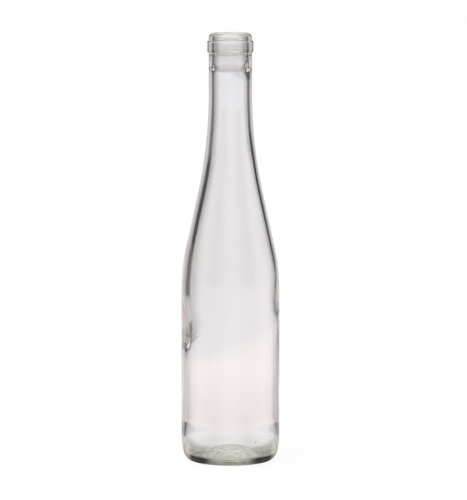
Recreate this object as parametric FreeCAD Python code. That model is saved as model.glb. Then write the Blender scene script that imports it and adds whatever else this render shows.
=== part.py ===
import FreeCAD, Part
import math
import os

# A half-size wine bottle of clear glass, tall and slender with sloping shoulders.
# Millimetres, +Z up. The origin is the middle of the ring that the bottle stands on.
# The glass is one solid of revolution: an outer outline and the outline of its cavity.

# Overall sizes
bottle_height = 266.7
body_diameter = 61.0

# Inside: mouth and corkage bore, which the finish and the neck are built round
bore_diameter = 18.5
mouth_round = 1.0
bore_length = 20.0
bore_widening = 0.5
bore_step = 0.6
bore_step_length = 3.6

# Outside: the finish, which is the rounded lip and the collar under it
lip_wall = 4.15
lip_height = 4.8
lip_round = 2.5
collar_stand = 0.95
collar_height = 7.3
collar_top_round = 0.6
collar_foot_round = 1.3

# Outside: neck and sloping shoulder
neck_wall = 3.3
neck_length = 25.0
neck_sweep_radius = 290.0
shoulder_angle = 12.3
shoulder_curve_radius = 128.0

# Outside: heel, standing ring and the push-up under the base
heel_sweep_radius = 38.0
heel_sweep_angle = 17.3
heel_corner_radius = 6.4
standing_ring_width = 1.6
push_up_rise = 6.4
push_up_foot_radius = 5.0

# Inside: body, thinner heel and the floor over the push-up
body_wall = 3.0
heel_wall = 2.0
heel_taper_top = 27.0
inside_sweep_radius = 29.0
inside_corner_radius = 5.0
ring_thickness = 2.4
base_thickness = 3.7
inside_foot_radius = 4.0

density_glass = 2.5e-6      # kg per cubic millimetre
shortest_edge = 0.01        # anything less is left out


def at(radius, height):
    return FreeCAD.Vector(radius, 0.0, height)


class Outline:
    """An outline in the XZ plane, drawn edge by edge from a first point."""

    def __init__(self, radius, height):
        self.first = at(radius, height)
        self.last = self.first
        self.edges = []

    def line(self, radius, height):
        end = at(radius, height)
        if end.distanceToPoint(self.last) > shortest_edge:
            self.edges.append(Part.LineSegment(self.last, end).toShape())
            self.last = end

    def arc(self, centre_radius, centre_height, arc_radius, start, end):
        """An arc about a centre, between two angles in degrees from +X towards +Z."""

        def on_arc(angle):
            turn = math.radians(angle)
            return at(
                centre_radius + arc_radius * math.cos(turn),
                centre_height + arc_radius * math.sin(turn),
            )

        middle = on_arc((start + end) / 2.0)
        finish = on_arc(end)
        self.edges.append(Part.Arc(self.last, middle, finish).toShape())
        self.last = finish

    def revolved(self):
        self.edges.append(Part.LineSegment(self.last, self.first).toShape())
        face = Part.Face(Part.Wire(self.edges))
        axis_foot = FreeCAD.Vector(0.0, 0.0, 0.0)
        axis = FreeCAD.Vector(0.0, 0.0, 1.0)
        return face.revolve(axis_foot, axis, 360.0)


def lip_radius():
    return bore_diameter / 2.0 + lip_wall


def neck_cavity_radius():
    return (bore_diameter + bore_widening) / 2.0 + bore_step


def shoulder(outline, body_radius, upper_radius, lower_radius):
    """Neck sweep, straight slope and shoulder curve, down to the upright body wall."""
    neck_radius = outline.last.x
    turn = math.radians(shoulder_angle)
    swing = 1.0 - math.cos(turn)
    slope_gain = body_radius - neck_radius - (upper_radius + lower_radius) * swing
    slope_drop = slope_gain / math.tan(turn)
    top = outline.last.z
    outline.arc(neck_radius + upper_radius, top, upper_radius, 180.0, 180.0 + shoulder_angle)
    slope_foot = outline.last.z - slope_drop
    outline.line(outline.last.x + slope_gain, slope_foot)
    body_top = slope_foot - lower_radius * math.sin(turn)
    outline.arc(body_radius - lower_radius, body_top, lower_radius, shoulder_angle, 0.0)


def heel(outline, body_radius, sweep_radius, corner_radius, foot_height):
    """Gentle sweep in from the upright wall, then the corner down to a level foot."""
    sweep = math.radians(heel_sweep_angle)
    sweep_top = foot_height + corner_radius * (1.0 - math.sin(sweep)) + sweep_radius * math.sin(sweep)
    outline.line(body_radius, sweep_top)
    outline.arc(body_radius - sweep_radius, sweep_top, sweep_radius, 0.0, -heel_sweep_angle)
    foot_radius = outline.last.x - corner_radius * math.cos(sweep)
    foot_centre = foot_height + corner_radius
    outline.arc(foot_radius, foot_centre, corner_radius, -heel_sweep_angle, -90.0)


def dome(outline, rise, foot_radius):
    """From a level foot inwards over a reverse curve to a dome that is level at the axis."""
    foot = outline.last
    dome_radius = (foot.x ** 2 + rise ** 2 - 2.0 * foot_radius * rise) / (2.0 * rise)
    lean = math.degrees(math.asin(foot.x / (dome_radius + foot_radius)))
    outline.arc(foot.x, foot.z + foot_radius, foot_radius, 270.0, 270.0 - lean)
    outline.arc(0.0, foot.z + rise - dome_radius, dome_radius, 90.0 - lean, 90.0)


def finish(outline):
    """The rounded lip, and the collar that curves back in to the neck under it."""
    rim = lip_radius()
    rim_round = min(lip_round, lip_wall - mouth_round)
    outline.line(rim - rim_round, bottle_height)
    outline.arc(rim - rim_round, bottle_height - rim_round, rim_round, 90.0, 0.0)

    collar = rim + collar_stand
    collar_top = bottle_height - lip_height
    top_round = min(collar_top_round, collar_stand)
    outline.line(rim, collar_top)
    outline.line(collar - top_round, collar_top)
    outline.arc(collar - top_round, collar_top - top_round, top_round, 90.0, 0.0)

    neck = neck_cavity_radius() + neck_wall
    collar_foot = collar_top - collar_height
    foot_turn = math.acos(1.0 - (collar - neck) / collar_foot_round)
    curve_top = collar_foot + collar_foot_round * math.sin(foot_turn)
    outline.line(collar, curve_top)
    outline.arc(
        collar - collar_foot_round,
        curve_top,
        collar_foot_round,
        0.0,
        -math.degrees(foot_turn),
    )
    outline.line(neck, collar_foot - neck_length)


def outside():
    outline = Outline(0.0, bottle_height)
    finish(outline)
    body_radius = body_diameter / 2.0
    shoulder(outline, body_radius, neck_sweep_radius, shoulder_curve_radius)
    heel(outline, body_radius, heel_sweep_radius, heel_corner_radius, 0.0)
    outline.line(outline.last.x - standing_ring_width, 0.0)
    dome(outline, push_up_rise, push_up_foot_radius)
    return outline.revolved()


def cavity():
    bore_radius = bore_diameter / 2.0
    bore_foot = bottle_height - bore_length
    neck_foot = bottle_height - lip_height - collar_height - neck_length
    neck_radius = neck_cavity_radius()
    body_radius = body_diameter / 2.0 - body_wall
    heel_radius = body_diameter / 2.0 - heel_wall

    outline = Outline(0.0, bottle_height)
    outline.line(bore_radius + mouth_round, bottle_height)
    outline.arc(
        bore_radius + mouth_round,
        bottle_height - mouth_round,
        mouth_round,
        90.0,
        180.0,
    )
    outline.line(bore_radius + bore_widening / 2.0, bore_foot)
    outline.line(neck_radius, bore_foot - bore_step_length)
    outline.line(neck_radius, neck_foot)
    shoulder(outline, body_radius, neck_sweep_radius + neck_wall, shoulder_curve_radius - body_wall)
    outline.line(body_radius, heel_taper_top)
    heel(outline, heel_radius, inside_sweep_radius, inside_corner_radius, ring_thickness)
    dome(outline, push_up_rise + base_thickness - ring_thickness, inside_foot_radius)
    return outline.revolved()


os.makedirs("parts", exist_ok=True)

hollow = cavity()
bottle = outside().cut(hollow)
bottle.exportStep("parts/bottle.step")

print("solids", len(bottle.Solids), "valid", bottle.isValid())
print("glass", round(bottle.Volume / 1000.0, 1), "ml,", round(bottle.Volume * density_glass, 3), "kg")
print("filled to the brim", round(hollow.Volume / 1000.0, 1), "ml")
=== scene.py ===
import math

import bpy
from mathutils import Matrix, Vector, noise


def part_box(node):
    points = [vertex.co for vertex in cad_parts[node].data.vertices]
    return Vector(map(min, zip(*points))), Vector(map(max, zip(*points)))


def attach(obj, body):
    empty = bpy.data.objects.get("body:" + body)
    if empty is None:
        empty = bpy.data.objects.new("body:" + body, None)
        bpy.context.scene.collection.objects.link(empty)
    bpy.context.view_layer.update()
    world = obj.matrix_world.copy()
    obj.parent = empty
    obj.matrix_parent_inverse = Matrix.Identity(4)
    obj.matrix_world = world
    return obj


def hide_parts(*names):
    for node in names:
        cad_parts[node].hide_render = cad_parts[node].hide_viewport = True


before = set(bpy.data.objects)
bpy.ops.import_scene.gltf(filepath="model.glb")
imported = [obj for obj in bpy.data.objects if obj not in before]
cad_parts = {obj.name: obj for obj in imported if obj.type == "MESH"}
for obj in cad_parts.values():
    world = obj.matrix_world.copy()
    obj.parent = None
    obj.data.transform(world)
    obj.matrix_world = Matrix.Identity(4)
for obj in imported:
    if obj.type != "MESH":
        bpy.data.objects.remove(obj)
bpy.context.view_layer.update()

mm = 0.001
bottleLow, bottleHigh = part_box("bottle")
bodyRadius = (bottleHigh[0] - bottleLow[0]) / 2
bottleHeight = bottleHigh[2] - bottleLow[2]


class Wire:  # a node's socket that takes part in sums
    def __init__(self, sheet, socket):
        self.sheet = sheet
        self.socket = socket

    def sum(self, operation, first, second):
        return self.sheet.node("ShaderNodeMath", {"operation": operation}, {0: first, 1: second})

    def __add__(self, other):
        return self.sum("ADD", self, other)

    def __radd__(self, other):
        return self.sum("ADD", other, self)

    def __sub__(self, other):
        return self.sum("SUBTRACT", self, other)

    def __rsub__(self, other):
        return self.sum("SUBTRACT", other, self)

    def __mul__(self, other):
        return self.sum("MULTIPLY", self, other)

    def __rmul__(self, other):
        return self.sum("MULTIPLY", other, self)

    def __truediv__(self, other):
        return self.sum("DIVIDE", self, other)

    def __rtruediv__(self, other):
        return self.sum("DIVIDE", other, self)

    def __abs__(self):
        return self.sheet.node("ShaderNodeMath", {"operation": "ABSOLUTE"}, {0: self})


class Sheet:  # makes the nodes of one material or world
    def __init__(self, tree):
        self.tree = tree
        self.tree.nodes.clear()

    def node(self, kind, settings, sockets, output=0):
        made = self.tree.nodes.new(kind)
        for name, value in settings.items():
            if name == "stops":  # colour ramp stops: (place, colour)
                self.placeStops(made.color_ramp, value)
            else:
                setattr(made, name, value)
        for name, value in sockets.items():
            if isinstance(value, Wire):
                self.tree.links.new(value.socket, made.inputs[name])
            else:
                made.inputs[name].default_value = value
        return Wire(self, made.outputs[output]) if made.outputs else None

    def placeStops(self, ramp, stops):
        while len(ramp.elements) < len(stops):
            ramp.elements.new(0.5)
        for element, (place, colour) in zip(ramp.elements, stops):
            element.position = place
            element.color = opaque(colour)

    def axes(self, place):  # the three numbers of a place
        return [self.node("ShaderNodeSeparateXYZ", {}, {0: place}, axis) for axis in "XYZ"]

    def grain(self, place, scale, detail):
        return self.node("ShaderNodeTexNoise", {}, {"Vector": place, "Scale": scale, "Detail": detail})

    def ramp(self, value, low, high, start=0.0, end=1.0):  # a soft step from start to end
        settings = {"interpolation_type": "SMOOTHSTEP"}
        sockets = {"Value": value, "From Min": low, "From Max": high, "To Min": start, "To Max": end}
        return self.node("ShaderNodeMapRange", settings, sockets)


def opaque(colour):
    return (*colour, 1.0)


# the glass is two outlines turned about the upright axis, which meet at the mouth
glass = {
    "around": 208,             # facets round the bottle
    # outside, mm
    "lipRadius": 13.4, "lipHeight": 4.8, "lipRound": 2.5,
    "lipFoot": 0.25, "lipFootMiddle": 0.08,     # the small hollow where the lip meets the collar
    "collarRadius": 14.35, "collarHeight": 7.3, "collarTopRound": 0.6, "collarFootRound": 1.3,
    "neckRadius": 13.4, "neckLength": 25.0, "neckSweep": 290.0,
    "shoulderAngle": 12.3, "shoulderCurve": 128.0,
    "heelSweep": 38.0, "heelAngle": 17.3, "heelCorner": 6.4, "ringWidth": 1.6,
    "pushUp": 6.4, "pushUpFoot": 5.0,
    # inside, mm
    "boreRadius": 9.25, "mouthRound": 1.0, "boreLength": 20.0, "boreWidening": 0.25, "boreStep": 3.6,
    "neckWall": 3.3, "bodyWall": 2.9, "baseThickness": 3.7,
    "heelWall": 2.0, "heelTaperTop": 27.0, "insideSweep": 29.0,
    "insideCorner": 5.0, "valleyHeight": 2.4, "insideFoot": 4.0,
}

# how the inside wall is uneven, in mm: left is -X and right is +X
uneven = {
    # how far the inside sits off the axis to the right, by height
    "lean": [
        (0, 0.3), (60, 0.4), (95, 1.2), (115, 1.1), (140, 0.65), (185, 0.6), (205, 0.3), (238, 0.3),
        (246, 0),
    ],
    "fullRadius": 12.0,                             # shifts grow from nothing at the axis to full here
    # settle wave: long above its crest, steep under it, and only on the upright wall
    "wallFrom": (30, 45), "wallTo": (115, 150),     # heights over which wave and ripple come and go
    "waveHeight": 88.5, "waveTilt": 9.0,            # crest height, and how much higher it is at the right
    "waveAbove": 13.0, "waveBelow": 5.0, "waveDepth": 1.0,
    "waveReach": 9, "waveFront": 0.05,              # how fast it dies away from the sides, and what is left
    "waveLeft": 0.2,                                # share more at the left, and less at the right
    "curl": 0.10, "curlLength": 4.3, "curlFade": 7.5,                   # small ripples under the crest
    "curlPatch": 9.0, "curlPatchHeight": 5.0, "curlPatchShare": 1.5,    # which come and go
    "thickening": 0.3, "thickFrom": -5.0, "thickTo": 10.0,              # extra wall above the wave
    "ripple": 0.10, "rippleSize": 22.0, "rippleAround": 1.3, "seed": 11.3,
    # a rise in the wall at the foot of the bore
    "ridgeHeight": 244.8, "ridgeHalf": 2.5, "ridge": 0.25, "ridgeReach": 2, "ridgeRight": 0.4,
    # small knots in the wall: degrees from +X, the wall's radius, depth, half width,
    # how many times as tall as wide, and how far apart its rings are
    "knots": [
        {"height": 245.6, "turn": -27, "radius": 10.0, "depth": 0.55, "half": 1.5, "tall": 2.0, "rings": 50},
        {"height": 245.6, "turn": 206, "radius": 10.0, "depth": 0.35, "half": 1.2, "tall": 1.3, "rings": 50},
        {"height": 76.3, "turn": 202, "radius": 27.6, "depth": 0.36, "half": 3.0, "tall": 1.4, "rings": 3.8},
    ],
}


def smooth(value, low, high):
    share = min(1.0, max(0.0, (value - low) / (high - low)))
    return share * share * (3 - 2 * share)


def arcPoints(centreR, centreZ, radius, start, end, steps):
    points = []
    for step in range(1, steps + 1):
        turn = math.radians(start + (end - start) * step / steps)
        points.append((centreR + radius * math.cos(turn), centreZ + radius * math.sin(turn)))
    return points


def linePoints(start, end, steps, soft=False):  # a soft line sets out upright and ends upright
    points = []
    for step in range(1, steps + 1):
        share = step / steps
        aside = smooth(share, 0, 1) if soft else share
        points.append((start[0] + (end[0] - start[0]) * aside, start[1] + (end[1] - start[1]) * share))
    return points


def shoulderPoints(top, body, upper, lower, dense):
    turn = math.radians(glass["shoulderAngle"])
    swing = 1 - math.cos(turn)
    gain = body - top[0] - (upper + lower) * swing
    points = arcPoints(top[0] + upper, top[1], upper, 180, 180 + glass["shoulderAngle"], dense)
    foot = (points[-1][0] + gain, points[-1][1] - gain / math.tan(turn))
    points += linePoints(points[-1], foot, dense // 2)
    bodyTop = foot[1] - lower * math.sin(turn)
    points += arcPoints(body - lower, bodyTop, lower, glass["shoulderAngle"], 0, dense // 2)
    return points


def heelPoints(wall, sweepRadius, sweepTop, corner, foot):  # gentle sweep, then the corner down to its foot
    points = arcPoints(wall - sweepRadius, sweepTop, sweepRadius, 0, -glass["heelAngle"], 8)
    centre = points[-1][0] - corner * math.cos(math.radians(glass["heelAngle"]))
    points += arcPoints(centre, foot + corner, corner, -glass["heelAngle"], -90, 12)
    return points


def heelTop(sweepRadius, corner, foot):  # where the sweep of the heel starts
    turn = math.radians(glass["heelAngle"])
    return foot + corner * (1 - math.sin(turn)) + sweepRadius * math.sin(turn)


def domePoints(foot, rise, footRadius, dense):
    domeRadius = (foot[0] ** 2 + rise ** 2 - 2 * footRadius * rise) / (2 * rise)
    lean = math.degrees(math.asin(foot[0] / (domeRadius + footRadius)))
    points = arcPoints(foot[0], foot[1] + footRadius, footRadius, 270, 270 - lean, dense // 2)
    points += arcPoints(0, foot[1] + rise - domeRadius, domeRadius, 90 - lean, 90, dense)
    return points


def lipOutline():  # from the mouth over the lip and the collar, down to the neck
    top = bottleHeight / mm
    lip = glass["lipRadius"]
    lipRound = glass["lipRound"]
    points = [(glass["boreRadius"] + glass["mouthRound"], top)]
    points += linePoints(points[-1], (lip - lipRound, top), 2)
    points += arcPoints(lip - lipRound, top - lipRound, lipRound, 90, 0, 10)

    collar = glass["collarRadius"]
    collarTop = top - glass["lipHeight"]
    hollow = glass["lipFoot"]
    middle = glass["lipFootMiddle"]
    points += linePoints(points[-1], (lip, collarTop + hollow), 4)
    points += [(lip + middle, collarTop + middle), (lip + hollow, collarTop)]
    topRound = glass["collarTopRound"]
    points += arcPoints(collar - topRound, collarTop - topRound, topRound, 90, 0, 6)

    footRound = glass["collarFootRound"]
    curveTop = collarTop - glass["collarHeight"] + footRound
    points += linePoints(points[-1], (collar, curveTop), 6)
    footTurn = math.degrees(math.acos(1 - (collar - glass["neckRadius"]) / footRound))
    points += arcPoints(collar - footRound, curveTop, footRound, 0, -footTurn, 6)
    return points


def outsideOutline():
    body = bodyRadius / mm
    neckFoot = (glass["neckRadius"], neckFootHeight())
    points = lipOutline()
    points += linePoints(points[-1], neckFoot, 12)
    points += shoulderPoints(neckFoot, body, glass["neckSweep"], glass["shoulderCurve"], 28)
    sweepTop = heelTop(glass["heelSweep"], glass["heelCorner"], 0)
    points += linePoints(points[-1], (body, sweepTop), 6)
    points += heelPoints(body, glass["heelSweep"], sweepTop, glass["heelCorner"], 0)
    points += linePoints(points[-1], (points[-1][0] - glass["ringWidth"], 0), 2)
    points += domePoints(points[-1], glass["pushUp"], glass["pushUpFoot"], 14)
    return points


def insideOutline():
    top = bottleHeight / mm
    body = bodyRadius / mm - glass["bodyWall"]
    neck = glass["neckRadius"] - glass["neckWall"]
    neckFoot = (neck, neckFootHeight())
    mouthRound = glass["mouthRound"]
    boreFoot = (glass["boreRadius"] + glass["boreWidening"], top - glass["boreLength"])
    points = [(glass["boreRadius"] + mouthRound, top)]
    points += arcPoints(glass["boreRadius"] + mouthRound, top - mouthRound, mouthRound, 90, 180, 6)
    points += linePoints(points[-1], boreFoot, 18)
    points += linePoints(boreFoot, (neck, boreFoot[1] - glass["boreStep"]), 12, soft=True)
    points += linePoints(points[-1], neckFoot, 8)
    upper = glass["neckSweep"] + glass["neckWall"]
    lower = glass["shoulderCurve"] - glass["bodyWall"]
    points += shoulderPoints(neckFoot, body, upper, lower, 32)
    points += linePoints(points[-1], (body, glass["heelTaperTop"]), 100)  # fine, for the wave's ripples

    heel = bodyRadius / mm - glass["heelWall"]
    sweepTop = heelTop(glass["insideSweep"], glass["insideCorner"], glass["valleyHeight"])
    points += linePoints(points[-1], (heel, sweepTop), 14, soft=True)  # the wall thins towards the heel
    points += heelPoints(heel, glass["insideSweep"], sweepTop, glass["insideCorner"], glass["valleyHeight"])
    rise = glass["pushUp"] + glass["baseThickness"] - glass["valleyHeight"]
    points += domePoints(points[-1], rise, glass["insideFoot"], 14)
    return points


def neckFootHeight():
    return bottleHeight / mm - glass["lipHeight"] - glass["collarHeight"] - glass["neckLength"]


def between(table, place):  # a soft curve through a table of (place, value)
    for (low, first), (high, second) in zip(table, table[1:]):
        if place <= high:
            return first + (second - first) * smooth(place, low, high)
    return table[-1][1]


def settleWave(height, angle, side):  # mm inwards; side is 1 at the right and -1 at the left
    above = height - uneven["waveHeight"] - uneven["waveTilt"] * side
    share = above / (uneven["waveAbove"] if above > 0 else uneven["waveBelow"])
    wave = uneven["waveDepth"] * math.exp(-share * share)
    if above < 0:
        patch = uneven["curlPatch"]
        place = Vector((side * patch, math.sin(angle) * patch, height / uneven["curlPatchHeight"]))
        curl = uneven["curl"] * (1 + uneven["curlPatchShare"] * noise.noise(place))
        curl *= math.sin(2 * math.pi * above / uneven["curlLength"])
        wave += curl * math.exp(-(above / uneven["curlFade"]) ** 2)
    front = uneven["waveFront"]
    wave *= (front + (1 - front) * abs(side) ** uneven["waveReach"]) * (1 - uneven["waveLeft"] * side)
    return wave + uneven["thickening"] * smooth(above, uneven["thickFrom"], uneven["thickTo"])


def boreRidge(height, side):  # mm inwards
    rise = (height - uneven["ridgeHeight"]) / uneven["ridgeHalf"]
    reach = abs(side) ** uneven["ridgeReach"] * (1 + uneven["ridgeRight"] * side)
    return uneven["ridge"] * math.exp(-rise * rise) * reach


def wallKnots(height, angle):  # mm inwards
    total = 0.0
    for knot in uneven["knots"]:
        aside = math.remainder(angle - math.radians(knot["turn"]), 2 * math.pi) * knot["radius"]
        reach = math.hypot(aside, (height - knot["height"]) / knot["tall"])
        bump = knot["depth"] * math.exp(-(reach / knot["half"]) ** 2)
        total += bump * math.cos(2 * math.pi * reach / knot["rings"])
    return total


def insideShift(height, angle):  # mm that the inside wall moves: to the right, and out along its radius
    side = math.cos(angle)
    around = uneven["rippleAround"]
    place = Vector((side * around, math.sin(angle) * around, height / uneven["rippleSize"] + uneven["seed"]))
    ripple = uneven["ripple"] * noise.noise(place)
    upright = smooth(height, *uneven["wallFrom"]) * (1 - smooth(height, *uneven["wallTo"]))
    out = (ripple - settleWave(height, angle, side)) * upright
    out -= boreRidge(height, side) + wallKnots(height, angle)
    return between(uneven["lean"], height), out


def buildGlass():
    outside = outsideOutline()
    inside = insideOutline()
    around = glass["around"]
    vertices = []
    faces = []

    def addRing(radius, height, within):
        first = len(vertices)
        fade = min(1.0, radius / uneven["fullRadius"])
        for spoke in range(around):
            angle = 2 * math.pi * spoke / around
            right, out = insideShift(height, angle) if within else (0.0, 0.0)
            reach = radius + out * fade
            x = reach * math.cos(angle) + right * fade
            vertices.append((x * mm, reach * math.sin(angle) * mm, height * mm))
        return first

    def join(upper, lower, flip):
        for spoke in range(around):
            after = (spoke + 1) % around
            corners = [upper + spoke, upper + after, lower + after, lower + spoke]
            faces.append(corners if flip else corners[::-1])

    def closeCentre(ring, height, flip):
        centre = len(vertices)
        vertices.append((0.0, 0.0, height * mm))
        for spoke in range(around):
            after = (spoke + 1) % around
            corners = [ring + spoke, ring + after, centre]
            faces.append(corners if flip else corners[::-1])

    mouth = addRing(*outside[0], False)  # the outlines share this ring
    for outline, within in ((outside, False), (inside, True)):
        previous = mouth
        for radius, height in outline[1:-1]:
            ring = addRing(radius, height, within)
            join(previous, ring, within)
            previous = ring
        closeCentre(previous, outline[-1][1], within)

    mesh = bpy.data.meshes.new("bottleGlass")
    mesh.from_pydata(vertices, [], faces)
    mesh.validate()
    mesh.update()
    for polygon in mesh.polygons:
        polygon.use_smooth = True
    piece = bpy.data.objects.new("bottleGlass", mesh)
    bpy.context.collection.objects.link(piece)
    print("glass mesh:", len(vertices), "points,", sum(len(face) - 2 for face in faces), "triangles")
    return piece


# pairs say where a mask starts and where it is full; lengths are in metres
finish = {
    "index": 1.52,
    "tint": (1.0, 1.0, 1.0), "wavyTint": (0.985, 0.985, 0.985),
    "deep": (0.80, 0.765, 0.73), "density": 60.0,       # darkens light that goes far through the glass
    "wavyScale": 60.0, "wavyDepth": 0.00005,
    # short bars all round the standing ring, of which a grain leaves these shares
    "barCount": 130, "barDepth": 0.0004, "ringRoughness": 0.25,
    "ringHeight": (0.0022, 0.0005), "ringInner": (0.0195, 0.0208), "ringOuter": (0.0262, 0.0245),
    "grainScale": 260.0, "grainLevels": (0.35, 0.6), "grainShare": (0.3, 1.0),
    # the grained base
    "baseScale": 330.0, "baseDepth": 0.0003, "baseHeight": (0.0125, 0.009), "baseReach": (0.0265, 0.0235),
    # a short row of plain dots low on the wall: its middle and half width are in degrees from +X
    "dotCount": 60, "dotDepth": 0.00007, "dotHeight": 0.0152, "dotTall": (0.0012, 0.0004),
    "dotMiddle": -64.5, "dotHalf": 9.0, "dotFade": 0.5, "dotLevels": (0.2, 0.9),
}


def glassMaterial():
    material = bpy.data.materials.new("clearGlass")
    material.use_nodes = True
    sheet = Sheet(material.node_tree)
    place = sheet.node("ShaderNodeTexCoord", {}, {}, "Object")
    x, y, z = sheet.axes(place)
    angle = sheet.node("ShaderNodeMath", {"operation": "ARCTAN2"}, {0: y, 1: x})
    reach = sheet.node("ShaderNodeMath", {"operation": "SQRT"}, {0: x * x + y * y})

    bars = sheet.node("ShaderNodeMath", {"operation": "SINE"}, {0: angle * finish["barCount"]})
    ring = sheet.ramp(z, *finish["ringHeight"])
    ring = ring * sheet.ramp(reach, *finish["ringInner"]) * sheet.ramp(reach, *finish["ringOuter"])
    grain = sheet.grain(place, finish["grainScale"], 1.0)
    bars = bars * ring * sheet.ramp(grain, *finish["grainLevels"], *finish["grainShare"])

    base = sheet.ramp(z, *finish["baseHeight"]) * sheet.ramp(reach, *finish["baseReach"])
    base = base * sheet.grain(place, finish["baseScale"], 2.0)

    along = sheet.node("ShaderNodeMath", {"operation": "SINE"}, {0: angle * finish["dotCount"]})
    offRow = abs(z - finish["dotHeight"])
    dots = sheet.ramp(along, *finish["dotLevels"]) * sheet.ramp(offRow, *finish["dotTall"])
    offMiddle = abs(angle - math.radians(finish["dotMiddle"]))
    rowEnd = math.radians(finish["dotHalf"])
    rowFade = math.radians(finish["dotFade"])
    dots = dots * sheet.ramp(offMiddle, rowEnd + rowFade, rowEnd)

    wavy = sheet.grain(place, finish["wavyScale"], 1.0)
    relief = bars * finish["barDepth"] + wavy * finish["wavyDepth"]
    relief = relief + dots * finish["dotDepth"] + base * finish["baseDepth"]
    bump = sheet.node("ShaderNodeBump", {}, {"Strength": 1.0, "Distance": 1.0, "Height": relief})
    tone = mixColour(sheet, wavy, opaque(finish["tint"]), opaque(finish["wavyTint"]))
    surface = sheet.node(
        "ShaderNodeBsdfPrincipled", {},
        {"Base Color": tone, "Roughness": ring * finish["ringRoughness"], "IOR": finish["index"],
         "Transmission Weight": 1.0, "Normal": bump})
    depth = sheet.node(
        "ShaderNodeVolumeAbsorption", {}, {"Color": opaque(finish["deep"]), "Density": finish["density"]})
    sheet.node("ShaderNodeOutputMaterial", {}, {"Surface": surface, "Volume": depth})
    return material


# To the camera, and as light, the studio is a plain pale floor in a white room. Its tones and dark zones
# are seen by way of the glass alone. The bottle stands at the middle, and behind it is +Y.
# Lengths are in metres, and off is degrees off the nearest square direction.
studio = {
    "floorHalf": 6.0,
    "paintedFloorTones": [     # painted light and shade by distance from the bottle, with painted shadow under it at the first stop
        (0.03, (0.56, 0.54, 0.475)), (0.06, (0.86, 0.84, 0.81)),
        (0.10, (0.86, 0.865, 0.87)), (0.24, (0.97, 0.905, 0.915)), (0.40, (1.04, 0.985, 0.99)),
        (0.54, (0.92, 0.90, 0.92)), (2.6, (0.945, 0.94, 0.975)), (4.4, (0.775, 0.77, 0.81)),
    ],
    "roomTones": [      # by the sine of the angle above the floor
        (0.0, (0.74, 0.735, 0.77)), (0.06, (0.73, 0.72, 0.75)), (0.16, (0.55, 0.53, 0.53)),
        (0.3, (0.72, 0.70, 0.68)), (0.5, (0.92, 0.90, 0.88)), (0.8, (1.2, 1.2, 1.2)),
    ],
    "fill": (0.75, 0.75, 0.75), "white": (1.0, 1.0, 1.0),       # the room as light, and to the camera
    # painted shadow on the floor under the base, which only the glass sees: it gives the dark foot at the
    # two sides of the base, in front
    "shadowUnderTone": (0.015, 0.012, 0.009),
    "shadowUnderReach": (0.06, 0.046), "shadowUnderSides": (0.01, 0.0175), "shadowUnderAhead": (0.0, -0.008),
    # dark sides of the floor and of the room over it, with a half shade before them
    "sideTone": (0.10, 0.086, 0.074), "wallTone": (0.02, 0.017, 0.014),
    "sideOff": (25.0, 38.0), "halfOff": 8.0, "halfTone": 0.38,
    "wallTop": (0.52, 0.4),                 # sine of the angle up to which the walls are dark
    "pool": (0.5, 0.95), "sideSet": (0.0, 0.1),     # even light round the bottle, and where the sides set in
    # darker wedges in the even light: degrees off, half width and core, and their shares
    "wedgeOff": 33.0, "wedgeHalf": 19.0, "wedgeCore": 1.9,
    "wedgeBehind": 0.44, "wedgeAhead": 0.2, "wedgeRight": 0.16, "wedgeSwap": (-0.02, 0.02),
    # matt paint, and how much the floor glows to the camera and by way of the glass
    "paint": (0.8, 0.8, 0.8), "glow": 1.04, "glowShare": 0.88, "tonesShare": 0.92,
    "lampPlace": (-0.9, -0.6, 1.6), "lampAim": (0.0, 0.0, 0.12), "lampSize": 1.2, "lampPower": 9.0,
}


def offSquare(sheet, place):  # how far the way to a place is off the nearest square direction
    x, y = sheet.axes(place)[:2]
    turn = sheet.node("ShaderNodeMath", {"operation": "ARCTAN2"}, {0: x, 1: y})
    return sheet.node("ShaderNodeMath", {"operation": "PINGPONG"}, {0: turn, 1: math.pi / 4})


def sideMask(sheet, off):  # 1 off to the sides, 0 straight behind, in front and square to them
    halfTone = studio["halfTone"]
    halfStart = math.radians(studio["halfOff"])
    start, end = [math.radians(turn) for turn in studio["sideOff"]]
    return sheet.ramp(off, halfStart, start, 0.0, halfTone) + sheet.ramp(off, start, end, 0.0, 1 - halfTone)


def tones(sheet, value, stops, reach):  # a colour for each value, from stops placed up to reach
    places = [(place / reach, colour) for place, colour in stops]
    return sheet.node("ShaderNodeValToRGB", {"stops": places}, {0: value / reach}, "Color")


def mixColour(sheet, share, first, second):
    return sheet.node("ShaderNodeMix", {"data_type": "RGBA"}, {0: share, "A": first, "B": second}, "Result")


def mixShader(sheet, share, first, second):
    return sheet.node("ShaderNodeMixShader", {}, {0: share, 1: first, 2: second})


def rayKinds(sheet):  # 1 on the camera's own rays, and 1 on those that the glass mirrors or lets through
    path = "ShaderNodeLightPath"
    return sheet.node(path, {}, {}, "Is Camera Ray"), sheet.node(path, {}, {}, "Is Glossy Ray")


def makeWorld():
    world = bpy.data.worlds.new("studioWorld")
    bpy.context.scene.world = world
    world.use_nodes = True
    sheet = Sheet(world.node_tree)
    seen, byGlass = rayKinds(sheet)
    place = sheet.node("ShaderNodeTexCoord", {}, {}, "Generated")
    up = sheet.axes(place)[2]
    room = tones(sheet, up, studio["roomTones"], 1.0)
    walls = sideMask(sheet, offSquare(sheet, place)) * sheet.ramp(up, *studio["wallTop"])
    room = mixColour(sheet, walls, room, opaque(studio["wallTone"]))
    light = mixColour(sheet, byGlass, opaque(studio["fill"]), room)
    light = mixColour(sheet, seen, light, opaque(studio["white"]))
    sky = sheet.node("ShaderNodeBackground", {}, {"Color": light, "Strength": 1.0})
    sheet.node("ShaderNodeOutputWorld", {}, {"Surface": sky})


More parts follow.
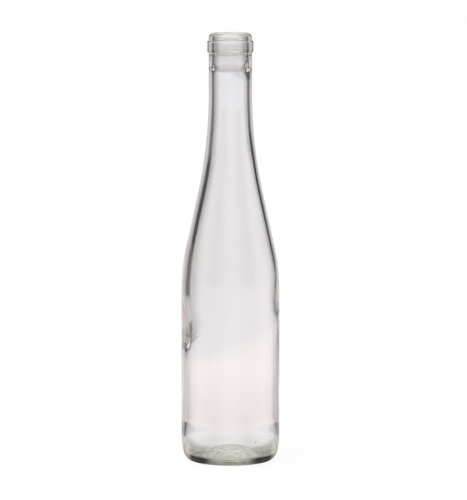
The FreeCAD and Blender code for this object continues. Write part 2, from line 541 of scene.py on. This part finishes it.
def paintedFloorTone(sheet, place):  # the floor's painted light and shade by way of the glass, with painted shadow under the bottle
    x, y = sheet.axes(place)[:2]
    distance = sheet.node("ShaderNodeVectorMath", {"operation": "LENGTH"}, {0: place}, "Value")
    tone = tones(sheet, distance, studio["paintedFloorTones"], studio["floorHalf"])

    off = offSquare(sheet, place)
    behind = sheet.ramp(y, *studio["sideSet"])
    beyond = sheet.ramp(distance, *studio["pool"]) * behind
    share = sheet.ramp(y, *studio["wedgeSwap"], studio["wedgeAhead"], studio["wedgeBehind"])
    share = share + sheet.ramp(x, *studio["sideSet"]) * behind * studio["wedgeRight"]
    wedgeHalf = math.radians(studio["wedgeHalf"])
    wedgeCore = math.radians(studio["wedgeCore"])
    wedge = sheet.ramp(abs(off - math.radians(studio["wedgeOff"])), wedgeHalf, wedgeCore) * share
    sides = beyond * sideMask(sheet, off) + (1 - beyond) * wedge
    tone = mixColour(sheet, sides, tone, opaque(studio["sideTone"]))

    # painted shadow on the floor under the bottle, at the two sides of its base and in front
    shadowUnder = sheet.ramp(distance, *studio["shadowUnderReach"]) * sheet.ramp(abs(x), *studio["shadowUnderSides"])
    shadowUnder = shadowUnder * sheet.ramp(y, *studio["shadowUnderAhead"])
    return mixColour(sheet, shadowUnder, tone, opaque(studio["shadowUnderTone"]))


def floorMaterial():
    material = bpy.data.materials.new("paleFloor")
    material.use_nodes = True
    sheet = Sheet(material.node_tree)
    seen, byGlass = rayKinds(sheet)
    tone = paintedFloorTone(sheet, sheet.node("ShaderNodeTexCoord", {}, {}, "Object"))
    matt = sheet.node("ShaderNodeBsdfDiffuse", {}, {"Color": opaque(studio["paint"])})
    white = opaque(studio["white"])
    glow = sheet.node("ShaderNodeEmission", {}, {"Color": white, "Strength": studio["glow"]})
    # a glow of painted light and shade that only the glass sees
    toned = sheet.node("ShaderNodeEmission", {}, {"Color": tone, "Strength": 1.0})
    shown = mixShader(sheet, studio["glowShare"], matt, glow)
    passed = mixShader(sheet, studio["tonesShare"], matt, toned)
    surface = mixShader(sheet, seen, mixShader(sheet, byGlass, matt, passed), shown)
    sheet.node("ShaderNodeOutputMaterial", {}, {"Surface": surface})
    return material


def makeFloor():
    half = studio["floorHalf"]
    mesh = bpy.data.meshes.new("floor")
    corners = [(-half, -half, 0), (half, -half, 0), (half, half, 0), (-half, half, 0)]
    mesh.from_pydata(corners, [], [(0, 1, 2, 3)])
    mesh.materials.append(floorMaterial())
    floor = bpy.data.objects.new("floor", mesh)
    bpy.context.collection.objects.link(floor)


def makeLamp():
    lamp = bpy.data.lights.new("softLamp", "AREA")
    lamp.shape = "SQUARE"
    lamp.size = studio["lampSize"]
    lamp.energy = studio["lampPower"]
    holder = bpy.data.objects.new("softLamp", lamp)
    place = Vector(studio["lampPlace"])
    holder.location = place
    holder.rotation_euler = (Vector(studio["lampAim"]) - place).to_track_quat("-Z", "Y").to_euler()
    bpy.context.collection.objects.link(holder)


view = {
    "distance": 2.806, "height": 0.4605,
    "pitch": 6.681, "yaw": 0.0395,          # degrees down, and to the right
    "focal": 9.097, "sensor": 36,           # focal length in sensor widths, and that width in mm
    "near": 0.05, "far": 60,
    # light runs a long way inside thick glass
    "bounces": 24, "mirrorBounces": 16, "glassBounces": 24,
}


def makeCamera():
    camera = bpy.data.cameras.new("camera")
    camera.sensor_width = view["sensor"]
    camera.lens = view["focal"] * view["sensor"]
    camera.clip_start = view["near"]
    camera.clip_end = view["far"]
    holder = bpy.data.objects.new("camera", camera)
    holder.location = (0, -view["distance"], view["height"])
    holder.rotation_euler = (math.pi / 2 - math.radians(view["pitch"]), 0, -math.radians(view["yaw"]))
    bpy.context.collection.objects.link(holder)
    bpy.context.scene.camera = holder


def setRender():
    scene = bpy.context.scene
    scene.view_settings.view_transform = "Standard"
    scene.cycles.max_bounces = view["bounces"]
    scene.cycles.glossy_bounces = view["mirrorBounces"]
    scene.cycles.transmission_bounces = view["glassBounces"]


makeCamera()
setRender()
print("camera set")
bottle = buildGlass()
bottle.data.materials.append(glassMaterial())
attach(bottle, "root")
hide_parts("bottle")
print("glass made")
makeFloor()
makeWorld()
makeLamp()
print("studio made")
